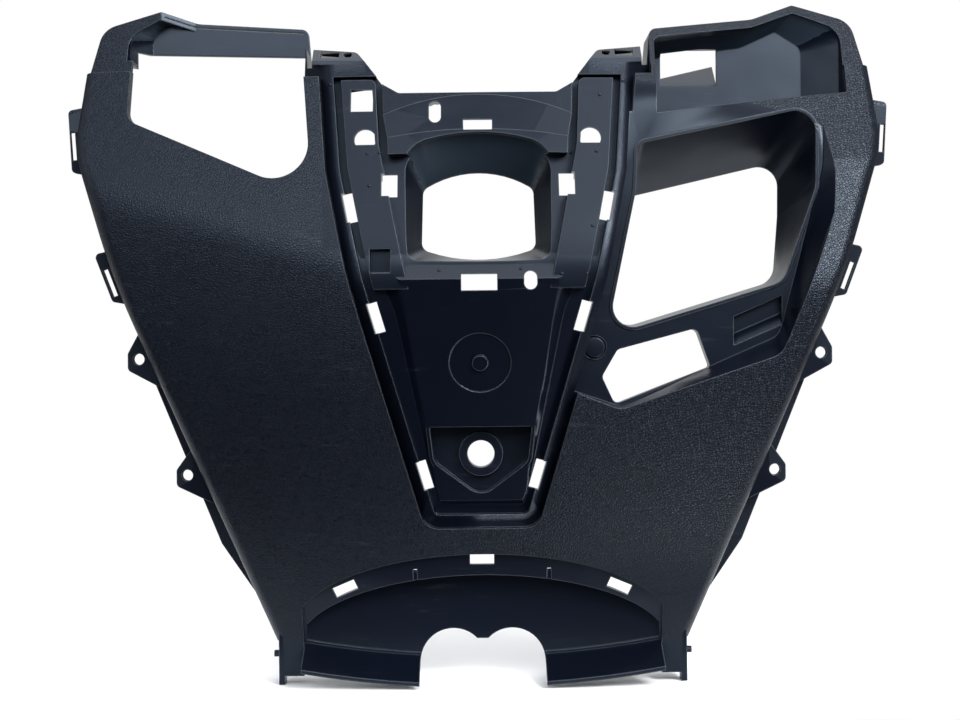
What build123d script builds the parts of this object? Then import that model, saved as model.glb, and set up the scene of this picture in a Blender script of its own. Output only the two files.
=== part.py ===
from build123d import *
import math
import os

# All lengths are millimetres and all angles are degrees.
# X runs to the rider's right, Y runs forward away from the rider and Z runs up.
# The origin is the mouth of the steering lock bore.

# Shell
wall = 2.5
wing_step = 3.0
skirt_depth = 24.0
roll_radius = 10.0

# Front surface of the wings: two slopes that meet in a soft crease, bowed from side to side
crease_y = -49.0
crease_z = 115.0
crease_radius = 120.0
upper_slope = 17.0
lower_slope = 17.0
bow_radius = 2200.0

# Wing outline, half widths from the middle plane
wing_top_z = 248.0
wing_top_half = 253.5
wing_knee_z = 195.0
wing_knee_half = 257.5
wing_knee_radius = 70.0
wing_foot_z = -124.5
wing_foot_half = 137.0

# Shoulders and roofs
shoulder_half = 251.0
shoulder_corner_half = 243.5
shoulder_corner_z = 278.5
shoulder_corner_radius = 14.0
peak_half = 205.6
peak_z = 289.5
peak_radius = 4.0
right_dip_half = 178.0
right_dip_z = 279.0
left_dip_half = 183.0
left_dip_z = 284.0
dip_radius = 20.0
roof_end_half = 111.0
right_roof_end_z = 272.0
left_roof_end_z = 279.5
roof_end_radius = 5.0

# Towers and the top edge of the cross piece
tower_half = 105.5
tower_top_z = 262.0
tower_inner_half = 77.5
tower_drop = 2.5
tower_foot_half = 60.0
tower_foot_z = 236.0
cross_top_half = 50.0
cross_top_z = 230.0
tower_corner_radius = 5.0
tower_slant = 9.5
tower_slot_length = 5.5
tower_slot_width = 4.0
tower_tray_width = 12.0
tower_tray_height = 5.0
tower_tray_half = 94.5

# Upper pockets under the roofs
pocket_floor_y = 23.0
pocket_rim = 5.5
pocket_side_half = 236.0
left_pocket_side_half = 226.0
pocket_floor_half = 213.5
pocket_floor_drop = 9.0
back_slot_half = 139.5
back_slot_z = 251.5
back_slot_width = 37.0
back_slot_height = 24.0
back_ramp_left = 4.0
back_ramp_right = 14.0

# Left window
window_left = 222.3
window_low_z = 214.5
window_right = 102.4
window_bottom_z = 161.0
window_top_right = 110.0
window_bar_z = 261.0
window_corner_radius = 10.0
window_round_radius = 21.5
window_lip = 7.0

# Seat for the centre trim
seat_top_z = 241.0
seat_top_half = 100.2
seat_waist_z = 178.0
seat_waist_half = 94.6
seat_knee_z = 109.0
seat_knee_half = 80.1
seat_foot_z = -47.5
seat_foot_half = 36.3
seat_waist_radius = 60.0
seat_knee_radius = 150.0
seat_foot_radius = 12.0
ledge_depth = 6.0
channel_depth = 12.0
ledge_inset = 8.5
rail_inset = 13.5
clip_inset = 10.0
clip_slot_width = 6.3
clip_slot_length = 19.0
upper_clip_z = 155.5
middle_clip_z = 87.0
lower_clip_z = -13.0

# Rails
rail_depth = 5.0
rail_top_z = 239.0
rail_top_half = 64.6
rail_waist_z = 195.0
rail_waist_half = 62.0
rail_foot_z = 104.0
rail_foot_half = 43.5
rail_corner_radius = 4.0
half_moon_radius = 6.8
half_moon_z = 199.0
half_moon_half = 70.5
rail_window_width = 14.0
rail_window_height = 14.5
upper_rail_window_z = 225.0
upper_rail_window_half = 73.0
lower_rail_window_z = 121.5
lower_rail_window_half = 60.5
lower_rail_window_width = 12.5
rail_tray_depth = 6.0
tray_ledge = 7.0

# Cross band between the rails
band_depth = 4.5
band_half = 59.5
band_top_z = 228.4
band_top_end_z = 215.4
band_bottom_z = 204.7
band_bottom_half = 56.6
band_bottom_end_z = 199.5
band_pill_width = 7.5
band_pill_length = 14.0
band_pill_x = -26.8
band_pill_z = 216.7
band_slot_width = 18.0
band_slot_height = 6.8
band_slot_z = 208.0
side_slot_half = 55.2
side_slot_z = 169.5
side_slot_width = 9.5
side_slot_height = 14.5

# D shaped window
d_half = 47.0
d_bottom_z = 121.5
d_spring_z = 193.0
d_top_z = 203.0
d_corner_radius = 20.0
d_foot_radius = 7.0
d_back_y = 3.0
d_back_half = 35.5
d_back_bottom_z = 132.0
d_back_sag = 7.0
d_back_spring_z = 170.0
d_back_top_z = 180.7
d_back_radius = 6.0
hood_depth = 3.7
hood_half = 56.0
hood_low_z = 189.0

# Raised centre panel
panel_top_z = 110.0
panel_top_half = 48.5
panel_bottom_z = -30.0
panel_bottom_half = 26.5
panel_top_depth = 4.5
panel_bottom_depth = 11.0
panel_shelf_rise = 10.0
gate_z = 58.5
gate_radius = 19.2
gate_sink = 0.8
gate_boss_radius = 5.0
gate_boss_rise = 1.0
panel_slot_width = 22.0
panel_slot_height = 10.0
panel_slot_z = 108.0
panel_pill_x = 31.5
panel_pill_z = 109.0
panel_pill_width = 8.0
panel_pill_height = 11.5

# Lock recess and bore
lock_top_z = 18.0
lock_half = 32.3
lock_side_z = -5.0
lock_side_half = 30.0
lock_bottom_z = -28.0
lock_side_radius = 10.0
lock_bottom_radius = 12.0
lock_floor_y = 5.0
lock_bore_radius = 8.7
lock_collar_radius = 14.2
lock_bore_length = 10.0

# Sunk plate in the right wing
plate_y = -15.0
plate_ridge_y = -32.0
ridge_top_z = 252.0
ridge_top_half = 234.0
ridge_bend_z = 180.0
ridge_bend_half = 231.5
ridge_low_z = 60.0
ridge_low_half = 187.0
ridge_lip_z = 27.5
ridge_lip_half = 88.0
ridge_join_z = 40.0
ridge_bend_radius = 40.0
ridge_low_radius = 12.0
ridge_lip_radius = 12.0
strip_inset = 2.0
plate_slope = 14.0
plate_top_z = 215.5
plate_top_rise = 13.5

# Tunnel window through the plate
tunnel_back_y = 27.0
tunnel_left = 101.0
tunnel_left_z = 196.0
tunnel_right = 213.5
tunnel_right_z = 218.5
tunnel_bend = 213.0
tunnel_bend_z = 168.0
tunnel_low_right = 192.0
tunnel_low_right_z = 108.0
tunnel_low_left = 80.0
tunnel_low_left_z = 74.5
tunnel_left_bend = 99.5
tunnel_left_bend_z = 166.0
tunnel_back_drop = 29.0
tunnel_back_inset = 15.0
tunnel_radius = 13.0
tunnel_rim_width = 2.0
tunnel_rim_rise = 1.0

# Hatch and tray in the plate
hatch_left = 77.0
hatch_left_z = 49.0
hatch_top_left = 87.0
hatch_top_left_z = 66.0
hatch_top_right = 137.0
hatch_top_right_z = 79.0
hatch_right = 145.5
hatch_right_z = 54.5
hatch_bottom = 85.0
hatch_bottom_z = 31.5
hatch_radius = 4.0
hatch_lip = 9.0
tray_left = 160.5
tray_right = 191.0
tray_low_z = 68.0
tray_height = 18.0
tray_rise = 13.0
tray_depth = 6.0

# Bottom arch
arch_half_width = 118.0
arch_top_z = -64.8
arch_span = 124.0
arch_rise = 52.0
arch_band = 14.5
arch_step = 3.0
arch_back_y = 26.0
arch_slot_length = 15.5
arch_slot_width = 7.0
arch_slot_half = 89.5
slit_half = 43.5
slit_z = -79.5
slit_width = 2.4
slit_height = 9.0
slit_sink = 1.6
arch_wall_side = 116.5
shelf_back_z = -134.0
shelf_end_rise = 10.3
shelf_front_y = 4.0
shelf_drop = 15.2
notch_half = 19.5
notch_z = -139.0
notch_radius = 21.8
notch_flat_z = -124.0

# Feet
foot_half = 134.7
foot_top_z = -117.0
foot_bottom_z = -147.0
foot_hook = 5.5
foot_hook_width = 4.0
foot_front_y = 22.0
foot_depth = 16.0
foot_pin_radius = 2.2
foot_pin_length = 4.0
foot_pin_z = -133.5

# Screw lugs, flange and loop tabs along the outer edges
lug_hole_radius = 3.6
lug_radius = 7.0
lug_thickness = 4.0
lug_reach = 20.0
upper_lug_out = 8.3
upper_lug_z = 63.0
lower_lug_out = 11.3
lower_lug_z = -12.5
lug_setback = 15.0
flange_top_width = 6.5
flange_width = 11.5
flange_top_z = 90.0
flange_shoulder_z = 60.0
flange_wide_z = -60.0
flange_bottom_z = -115.0
loop_thickness = 3.0
upper_loop_z = 204.0
upper_loop_length = 46.0
upper_loop_reach = 9.0
lower_loop_z = 114.0
lower_loop_length = 36.0
lower_loop_reach = 8.5
loop_bar = 3.0
loop_slot_length = 18.0
loop_slot_width = 3.0

# Distances that only have to clear the part
far = 120.0
reach_x = 320.0
reach_z_low = -190.0
reach_z_high = 330.0
hair = 0.02


def wing_depth(x, z, depth=0.0):
    """Y of the front surface of the wings, or of the surface some depth behind it"""
    rise = z - crease_z
    slope = math.radians(upper_slope if rise > 0 else lower_slope)
    bow = bow_radius - depth
    turn = crease_radius - depth - bow + math.sqrt(bow ** 2 - x ** 2)
    run = turn * math.sin(slope)
    if abs(rise) < run:
        return crease_y + crease_radius - math.sqrt(turn ** 2 - rise ** 2)
    return crease_y + crease_radius - turn * math.cos(slope) + math.tan(slope) * (abs(rise) - run)


crease_axis = Axis((0, crease_y + crease_radius, crease_z), (1, 0, 0))


def bowed_section(front, back):
    """Section across the wings where the upper slope begins, between two depths"""
    slope = math.radians(upper_slope)

    def point(x, depth):
        out = crease_radius - bow_radius + math.sqrt((bow_radius - depth) ** 2 - x ** 2)
        return (x, crease_y + crease_radius - out * math.cos(slope), crease_z + out * math.sin(slope))
    front_arc = Edge.make_three_point_arc(point(-reach_x, front), point(0, front), point(reach_x, front))
    back_arc = Edge.make_three_point_arc(point(reach_x, back), point(0, back), point(-reach_x, back))
    right_side = Edge.make_line(point(reach_x, front), point(reach_x, back))
    left_side = Edge.make_line(point(-reach_x, back), point(-reach_x, front))
    return Face(Wire([front_arc, right_side, back_arc, left_side]))


def layer(front, back):
    """Solid between two depths behind the front surface of the wings"""
    section = bowed_section(front, back)
    up = math.radians(upper_slope)
    down = math.radians(lower_slope)
    upper = extrude(section, amount=reach_z_high - crease_z, dir=(0, math.sin(up), math.cos(up)))
    bend = revolve(section, crease_axis, upper_slope + lower_slope)
    turned = section.rotate(crease_axis, upper_slope + lower_slope)
    lower = extrude(turned, amount=crease_z - reach_z_low, dir=(0, math.sin(down), -math.cos(down)))
    return upper + bend + lower


def behind(depth):
    """Everything behind a surface that lies some depth behind the wings"""
    height = reach_z_high - reach_z_low - 4 * wall
    room = Pos(0, 0, (reach_z_high + reach_z_low) / 2) * Box(2 * reach_x - 4 * wall, 2 * far, height)
    return room - layer(-2 * far, depth)


def outline(corners):
    """Face in the front view from corners of x, z and rounding radius"""
    points = [(x, 0, z) for x, z, radius in corners]
    radii = [radius for x, z, radius in corners]
    return Face(Wire(FilletPolyline(*points, radius=radii, close=True).edges()))


def mirrored(corners):
    """The same corners on the other side of the middle plane"""
    return [(-x, z, radius) for x, z, radius in corners]


def both_sides(corners):
    """Closed outline from the corners of its right half, top to bottom"""
    return outline(corners + mirrored(corners)[::-1])


def grown(face, amount):
    """Outline moved outward, or inward for a negative amount"""
    return offset(face, amount=amount, kind=Kind.INTERSECTION).face()


def slab(face, front, back):
    """Solid with that outline between two depths"""
    return extrude(face.moved(Location((0, front, 0))), amount=back - front, dir=(0, 1, 0))


def prism(face):
    """Solid with that outline, longer than the part is deep"""
    return slab(face, -far, far)


def well(front_face, front, back_face, back):
    """Solid whose outline changes evenly from one depth to the other"""
    mouth = front_face.moved(Location((0, front, 0)))
    floor = back_face.moved(Location((0, back, 0)))
    return loft([mouth, floor], ruled=True)


def bar(x, z, width, height, turn=0.0):
    """Rectangle in the front view, turned about its middle"""
    face = outline([(-width / 2, -height / 2, 0), (width / 2, -height / 2, 0),
                    (width / 2, height / 2, 0), (-width / 2, height / 2, 0)])
    return face.rotate(Axis.Y, -turn).moved(Location((x, 0, z)))


def pill(x, z, width, height):
    """Slot with round ends in the front view"""
    radius = min(width, height) / 2 - hair
    left = x - width / 2
    right = x + width / 2
    low = z - height / 2
    top = z + height / 2
    return outline([(left, low, radius), (right, low, radius), (right, top, radius), (left, top, radius)])


def disc(x, z, radius):
    """Round face in the front view"""
    return Face(Wire(Edge.make_circle(radius, Plane(origin=(x, 0, z), z_dir=(0, -1, 0)))))


def drum(plane, radius, low, high):
    """Round solid on a plane between two heights above it"""
    face = Face(Wire(Edge.make_circle(radius, plane.offset(low))))
    return extrude(face, amount=high - low, dir=plane.z_dir)


def arched(half_top, z_top_end, z_top, half_bottom, z_bottom_end, z_bottom):
    """Face between an upper arc and a lower arc"""
    upper = Edge.make_three_point_arc((-half_top, 0, z_top_end), (0, 0, z_top), (half_top, 0, z_top_end))
    right = Edge.make_line((half_top, 0, z_top_end), (half_bottom, 0, z_bottom_end))
    lower = Edge.make_three_point_arc((half_bottom, 0, z_bottom_end), (0, 0, z_bottom),
                                      (-half_bottom, 0, z_bottom_end))
    left = Edge.make_line((-half_bottom, 0, z_bottom_end), (-half_top, 0, z_top_end))
    return Face(Wire([upper, right, lower, left]))


def quad(points):
    """Flat face through corner points in space"""
    return Face(Wire(Polyline(*points, close=True).edges()))


def trapezoid(top_z, top_half, top_y, bottom_z, bottom_half, bottom_y):
    """Four-cornered face, level left to right"""
    return quad([(-top_half, top_y, top_z), (top_half, top_y, top_z),
                 (bottom_half, bottom_y, bottom_z), (-bottom_half, bottom_y, bottom_z)])


def along_x(points, x_from, x_to):
    """Solid with that side view, from corners of y and z"""
    face = quad([(x_from, y, z) for y, z in points])
    return extrude(face, amount=x_to - x_from, dir=(1, 0, 0))


def edge_half(z):
    """Half width of the wing outline on its straight stretch"""
    share = (z - wing_foot_z) / (wing_knee_z - wing_foot_z)
    return wing_foot_half + (wing_knee_half - wing_foot_half) * share


def seat_half(z):
    """Half width of the trim seat at a height"""
    if z > seat_waist_z:
        share = (z - seat_waist_z) / (seat_top_z - seat_waist_z)
        return seat_waist_half + (seat_top_half - seat_waist_half) * share
    if z > seat_knee_z:
        share = (z - seat_knee_z) / (seat_waist_z - seat_knee_z)
        return seat_knee_half + (seat_waist_half - seat_knee_half) * share
    share = (z - seat_foot_z) / (seat_knee_z - seat_foot_z)
    return seat_foot_half + (seat_knee_half - seat_foot_half) * share


def seat_lean(z):
    """Angle of the seat's side from upright at a height"""
    return math.degrees(math.atan2(seat_half(z + 1) - seat_half(z - 1), 2))


# Wings with rolled outer edges, dipping between the towers
tower_side_share = (wing_top_z - tower_foot_z) / (tower_top_z - tower_drop - tower_foot_z)
tower_side_half = tower_foot_half + (tower_inner_half - tower_foot_half) * tower_side_share
dip_corners = [(cross_top_half, cross_top_z, tower_corner_radius),
               (tower_foot_half, tower_foot_z, tower_corner_radius)]
wing_outline = both_sides(dip_corners + [(tower_side_half, wing_top_z, 0), (wing_top_half, wing_top_z, 0),
                                         (wing_knee_half, wing_knee_z, wing_knee_radius),
                                         (wing_foot_half, wing_foot_z, 0)])
wing_prism = prism(wing_outline)


def rolled_wing(face, front, room, radius):
    """Wing block filling a room behind the front surface, with its outer edges rolled"""
    block = prism(face) & room
    edges = []
    for edge in block.edges():
        middle = edge.center()
        on_front = middle.Y < wing_depth(middle.X, middle.Z, front) + wall
        if on_front and abs(middle.X) > seat_top_half and middle.Z < wing_top_z - 2 * wall:
            edges.append(edge)
    return fillet(edges, radius)


wing_block = rolled_wing(wing_outline, 0, layer(0, skirt_depth), roll_radius)
wing_hollow = rolled_wing(grown(wing_outline, -wall), wall, behind(wall), roll_radius - wall)


def shoulder_corners(dip_half, dip_z, roof_end_z):
    """Right-hand outline of a shoulder and its roof"""
    low_z = wing_top_z - 2 * wing_step
    return [(roof_end_half - wing_step, low_z, 0), (shoulder_half, low_z, 0),
            (shoulder_corner_half, shoulder_corner_z, shoulder_corner_radius),
            (peak_half, peak_z, peak_radius), (dip_half, dip_z, dip_radius),
            (roof_end_half, roof_end_z, roof_end_radius)]


def shoulder(face, front, back):
    """Shoulder block, set one step behind the wing"""
    return slab(face, -far, back) & behind(wing_step + front)


right_shoulder = outline(shoulder_corners(right_dip_half, right_dip_z, right_roof_end_z))
left_shoulder = outline(mirrored(shoulder_corners(left_dip_half, left_dip_z, left_roof_end_z)))
pocket_back_y = pocket_floor_y + wall
shoulder_block = shoulder(right_shoulder, 0, pocket_back_y) + shoulder(left_shoulder, 0, pocket_back_y)
shoulder_hollow = shoulder(grown(right_shoulder, -wall), wall, far)
shoulder_hollow += shoulder(grown(left_shoulder, -wall), wall, far)

# Towers and cross piece above the wings
tower_outline = both_sides(dip_corners + [(tower_inner_half, tower_top_z - tower_drop, tower_corner_radius),
                                          (tower_half, tower_top_z, 0), (tower_half, seat_waist_z, 0)])
tower_block = prism(tower_outline) & layer(0, skirt_depth)
tower_hollow = prism(grown(tower_outline, -wall)) & behind(wall)
front_reach = wing_prism + prism(tower_outline)

# Seat for the centre trim: a ledge all round and a deeper channel inside it
seat_clear = tower_half + 2 * wall
seat_outline = both_sides([(seat_clear, reach_z_high - wall, 0), (seat_clear, seat_top_z, 0),
                           (seat_top_half, seat_top_z, 0), (seat_waist_half, seat_waist_z, seat_waist_radius),
                           (seat_knee_half, seat_knee_z, seat_knee_radius),
                           (seat_foot_half, seat_foot_z, seat_foot_radius)])
seat_walls = prism(grown(seat_outline, wall)) & layer(0, ledge_depth + wall) & front_reach
seat_room = prism(seat_outline) & layer(-far, ledge_depth)
channel_outline = grown(seat_outline, -ledge_inset)
channel_limit = outline([(seat_clear, rail_top_z + wall, 0), (seat_clear, seat_foot_z, 0),
                         (-seat_clear, seat_foot_z, 0), (-seat_clear, rail_top_z + wall, 0)])
cross_clear_z = cross_top_z + far
cross_outline = arched(rail_top_half, cross_clear_z, cross_clear_z + wall,
                       band_half, band_top_end_z, band_top_z)
channel_prism = prism(channel_outline) & prism(channel_limit)
channel_room = (channel_prism - prism(cross_outline)) & layer(-far, channel_depth)
channel_walls = prism(grown(channel_outline, wall)) & prism(grown(channel_limit, wall))
channel_walls = channel_walls & layer(ledge_depth, channel_depth + wall) & front_reach
cross_hollow = prism(grown(cross_outline, -wall)) & layer(ledge_depth + wall, channel_depth + 2 * wall)
cross_hollow = cross_hollow & prism(grown(tower_outline, -wall))

# Left window through the wing, with a lip turned back round it
window_outline = outline([(-window_left, window_bar_z + wing_step, 0),
                          (-window_left, window_low_z, window_corner_radius),
                          (-window_right, window_bottom_z, window_round_radius),
                          (-window_top_right, seat_top_z, 0), (-window_top_right, window_bar_z, 0)])
window_walls = prism(grown(window_outline, wall)) & layer(0, window_lip) & wing_prism
window_room = prism(window_outline)


def pocket_front(side_half, dip_half, dip_z, roof_end_z, low_z, low_rise):
    """Mouth of a right-hand upper pocket, one rim inside the roof outline"""
    return [(roof_end_half + wall, low_z, 0), (side_half, low_z + low_rise, 0),
            (side_half, shoulder_corner_z - pocket_rim, shoulder_corner_radius),
            (peak_half, peak_z - pocket_rim, peak_radius), (dip_half, dip_z - pocket_rim, dip_radius),
            (roof_end_half + wall, roof_end_z - pocket_rim, roof_end_radius)]


def pocket_floor(dip_half, dip_z, roof_end_z, low_z, low_rise, drop):
    """Floor of a right-hand upper pocket, smaller than its mouth"""
    return [(roof_end_half, low_z, 0), (pocket_floor_half, low_z + low_rise, 0),
            (pocket_floor_half, shoulder_corner_z - pocket_rim - drop, shoulder_corner_radius / 2),
            (peak_half - drop, peak_z - pocket_rim - drop, peak_radius),
            (dip_half - drop / 2, dip_z - pocket_rim - drop, dip_radius),
            (roof_end_half, roof_end_z - pocket_rim - drop, roof_end_radius)]


# Upper pockets: sloped sides from the rim back to a flat floor
pocket_mouth_y = wing_depth(peak_half, peak_z) + wing_step
right_mouth = outline(pocket_front(pocket_side_half, right_dip_half, right_dip_z, right_roof_end_z,
                                   plate_top_z, plate_top_rise))
right_floor = outline(pocket_floor(right_dip_half, right_dip_z, right_roof_end_z,
                                   plate_top_z, plate_top_rise, pocket_floor_drop))
left_low_z = window_bar_z - 2 * wall
left_mouth = outline(mirrored(pocket_front(left_pocket_side_half, left_dip_half, left_dip_z, left_roof_end_z,
                                           left_low_z, 0)))
left_floor = outline(mirrored(pocket_floor(left_dip_half, left_dip_z, left_roof_end_z, left_low_z, 0, 0)))
right_walls = well(grown(right_mouth, wall), pocket_mouth_y, grown(right_floor, wall), pocket_back_y)
right_walls += slab(grown(right_mouth, wall), plate_ridge_y, pocket_mouth_y)
right_room = well(right_mouth, pocket_mouth_y, right_floor, pocket_floor_y)
right_room += slab(right_mouth, -far, pocket_mouth_y)
left_walls = well(grown(left_mouth, wall), pocket_mouth_y, grown(left_floor, wall), pocket_back_y)
left_walls += slab(grown(left_mouth, wall), plate_ridge_y, pocket_mouth_y)
left_room = well(left_mouth, pocket_mouth_y, left_floor, pocket_floor_y)
left_room += slab(left_mouth, -far, pocket_mouth_y)
shoulder_reach = prism(right_shoulder) + prism(left_shoulder) + wing_prism
pocket_walls = (right_walls + left_walls) & behind(wing_step) & shoulder_reach

# The left roof is cut back to the bar, along a slant from the peak
roof_cut = quad([(-peak_half, -far, window_bar_z), (-peak_half, pocket_mouth_y, window_bar_z),
                 (-left_dip_half - wall, pocket_floor_y, window_bar_z),
                 (-tower_half - wall, pocket_floor_y, window_bar_z),
                 (-tower_half - wall, -far, window_bar_z)])
roof_cut = extrude(roof_cut, amount=far, dir=(0, 0, 1))

# Slot in the back wall of the right pocket, with a sloping ramp behind it
back_slot_left = back_slot_half - back_slot_width / 2
back_slot_right = back_slot_half + back_slot_width / 2
back_slot_low_z = back_slot_z - back_slot_height / 2
back_slot = slab(bar(back_slot_half, back_slot_z, back_slot_width, back_slot_height),
                 pocket_floor_y - wall, pocket_back_y + wall)
ramp_foot_z = back_slot_low_z + wall
back_ramp = quad([(back_slot_left, pocket_floor_y, back_slot_low_z),
                  (back_slot_right, pocket_floor_y, back_slot_low_z),
                  (back_slot_right, pocket_back_y + back_ramp_right, ramp_foot_z + back_ramp_right),
                  (back_slot_left, pocket_back_y + back_ramp_left, ramp_foot_z + back_ramp_left)])
back_ramp = extrude(back_ramp, amount=wall, dir=(0, 0, -1))

# Sunk plate in the right wing
strip_side = [(seat_half(ridge_join_z) - strip_inset, ridge_join_z, 0),
              (seat_knee_half - strip_inset, seat_knee_z, 0),
              (seat_waist_half - strip_inset, seat_waist_z, 0),
              (seat_top_half - strip_inset, seat_top_z, 0), (seat_clear, ridge_top_z, 0)]
plate_front = outline([(ridge_top_half, ridge_top_z, 0), (ridge_bend_half, ridge_bend_z, ridge_bend_radius),
                       (ridge_low_half, ridge_low_z, ridge_low_radius),
                       (ridge_lip_half, ridge_lip_z, ridge_lip_radius)] + strip_side)
plate_back = outline([(ridge_top_half - plate_slope, ridge_top_z, 0),
                      (ridge_bend_half - plate_slope, ridge_bend_z, ridge_bend_radius),
                      (ridge_low_half + wall, ridge_low_z + plate_slope, ridge_low_radius),
                      (ridge_lip_half, ridge_lip_z + wall, ridge_lip_radius)] + strip_side)
plate_walls = well(grown(plate_front, wall), plate_ridge_y, grown(plate_back, wall), plate_y)
plate_walls += slab(grown(plate_front, wall), -far, plate_ridge_y)
plate_walls += slab(grown(plate_back, wall), plate_y, plate_y + wall)
plate_walls = plate_walls & behind(0) & wing_prism
plate_room = well(plate_front, plate_ridge_y, plate_back, plate_y) + slab(plate_front, -far, plate_ridge_y)

# Tunnel through the sunk plate, narrowing toward the back
tunnel_mouth = outline([(tunnel_left, tunnel_left_z, tunnel_radius / 2),
                        (tunnel_right, tunnel_right_z, tunnel_radius),
                        (tunnel_bend, tunnel_bend_z, 2 * tunnel_radius),
                        (tunnel_low_right, tunnel_low_right_z, tunnel_radius),
                        (tunnel_low_left, tunnel_low_left_z, tunnel_radius),
                        (tunnel_left_bend, tunnel_left_bend_z, 2 * tunnel_radius)])
tunnel_end = outline([(tunnel_left - wall, tunnel_left_z - tunnel_back_drop, tunnel_radius / 2),
                      (tunnel_right - tunnel_back_inset, tunnel_right_z - tunnel_back_drop, tunnel_radius),
                      (tunnel_bend - tunnel_back_inset, tunnel_bend_z - tunnel_back_drop / 2,
                       2 * tunnel_radius),
                      (tunnel_low_right + wall, tunnel_low_right_z + wall, tunnel_radius),
                      (tunnel_low_left + wall, tunnel_low_left_z + wall, tunnel_radius),
                      (tunnel_left_bend - wall, tunnel_left_bend_z - tunnel_back_drop / 2,
                       2 * tunnel_radius)])
tunnel_walls = well(grown(tunnel_mouth, wall), plate_y, grown(tunnel_end, wall), tunnel_back_y)
tunnel_room = well(tunnel_mouth, plate_y, tunnel_end, tunnel_back_y)
tunnel_room += slab(tunnel_mouth, plate_y - wall, plate_y)
tunnel_room += slab(tunnel_end, tunnel_back_y, tunnel_back_y + wall)
tunnel_rim = slab(grown(tunnel_mouth, tunnel_rim_width), plate_y - tunnel_rim_rise, plate_y + wall / 2)
tunnel_rim = tunnel_rim - tunnel_room

# Hatch and tray in the sunk plate
hatch = outline([(hatch_left, hatch_left_z, hatch_radius), (hatch_top_left, hatch_top_left_z, hatch_radius),
                 (hatch_top_right, hatch_top_right_z, hatch_radius),
                 (hatch_right, hatch_right_z, hatch_radius / 2),
                 (hatch_bottom, hatch_bottom_z, hatch_radius)])
hatch_walls = slab(grown(hatch, wall), plate_y, plate_y + hatch_lip)
hatch_room = slab(hatch, plate_y - wall, plate_y + 2 * hatch_lip)
tray_right_z = tray_low_z + tray_rise
tray = outline([(tray_left, tray_low_z, 0), (tray_right, tray_right_z, 0),
                (tray_right, tray_right_z + tray_height, 0), (tray_left, tray_low_z + tray_height, 0)])
tray_floor = outline([(tray_left, tray_low_z + tray_ledge, 0), (tray_right, tray_right_z + tray_ledge, 0),
                      (tray_right, tray_right_z + tray_height, 0), (tray_left, tray_low_z + tray_height, 0)])
tray_walls = well(grown(tray, wall), plate_y, grown(tray_floor, wall), plate_y + tray_depth + wall)
tray_room = well(tray, plate_y, tray_floor, plate_y + tray_depth) + slab(tray, plate_y - wall, plate_y)


def arch_half_height(half, span, rise):
    """Height of an elliptic arch above its middle at a half width"""
    return rise * math.sqrt(1 - (half / span) ** 2)


def arch_face(half, top_z, end_z, middle_z, more):
    """Face under an elliptic arch, closed below by an arc, with a little more all round"""
    span = arch_span + more
    rise = arch_rise + more
    half = half + more
    middle = top_z - arch_rise
    side_z = middle + arch_half_height(half, span, rise)
    start = math.degrees(math.acos(half / span))
    plane = Plane(origin=(0, 0, middle), x_dir=(1, 0, 0), z_dir=(0, -1, 0))
    upper = Edge.make_ellipse(span, rise, plane, start, 180 - start)
    left = Edge.make_line((-half, 0, side_z), (-half, 0, end_z - more))
    lower = Edge.make_three_point_arc((-half, 0, end_z - more), (0, 0, middle_z - more),
                                      (half, 0, end_z - more))
    right = Edge.make_line((half, 0, end_z - more), (half, 0, side_z))
    return Face(Wire([upper, left, lower, right]))


def band_face(more):
    """Outline of the stepped band of the bottom arch, open below"""
    low_z = wing_foot_z - skirt_depth
    return arch_face(arch_half_width, arch_top_z, low_z, low_z - wall, more)


def back_face(more):
    """Outline of the back wall inside the bottom arch"""
    end_z = shelf_back_z + shelf_end_rise
    return arch_face(arch_wall_side, arch_top_z - arch_band, end_z, shelf_back_z, more)


# Bottom arch: a stepped band for the tunnel cover and a back wall behind it
band_walls = prism(band_face(wall)) & layer(0, arch_step + wall) & wing_prism
band_room = prism(band_face(0)) & layer(-far, arch_step)
arch_walls = slab(back_face(wall), -far, arch_back_y + wall) & behind(0)
arch_room = slab(back_face(0), -far, arch_back_y)

# Shelf at the foot of the back wall, sloping down toward the rider
shelf_end_z = shelf_back_z + shelf_end_rise
shelf_edge = arched(arch_half_width, shelf_end_z, shelf_back_z,
                    arch_half_width, shelf_end_z - wall, shelf_back_z - wall)
shelf_run = Vector(0, shelf_front_y - arch_back_y - wall, -shelf_drop)
shelf_edge = shelf_edge.moved(Location((0, arch_back_y + wall, 0)))
shelf = extrude(shelf_edge, amount=shelf_run.length, dir=shelf_run)

# Notch for the frame tubes
notch_side = notch_half + notch_radius
notch_low_z = foot_bottom_z - skirt_depth
notch = prism(disc(-notch_half, notch_z, notch_radius)) + prism(disc(notch_half, notch_z, notch_radius))
notch += prism(outline([(-notch_side, notch_z, 0), (notch_side, notch_z, 0),
                        (notch_side, notch_low_z, 0), (-notch_side, notch_low_z, 0)]))
notch += prism(outline([(-notch_half, notch_flat_z, 0), (notch_half, notch_flat_z, 0),
                        (notch_half, notch_z, 0), (-notch_half, notch_z, 0)]))

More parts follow.
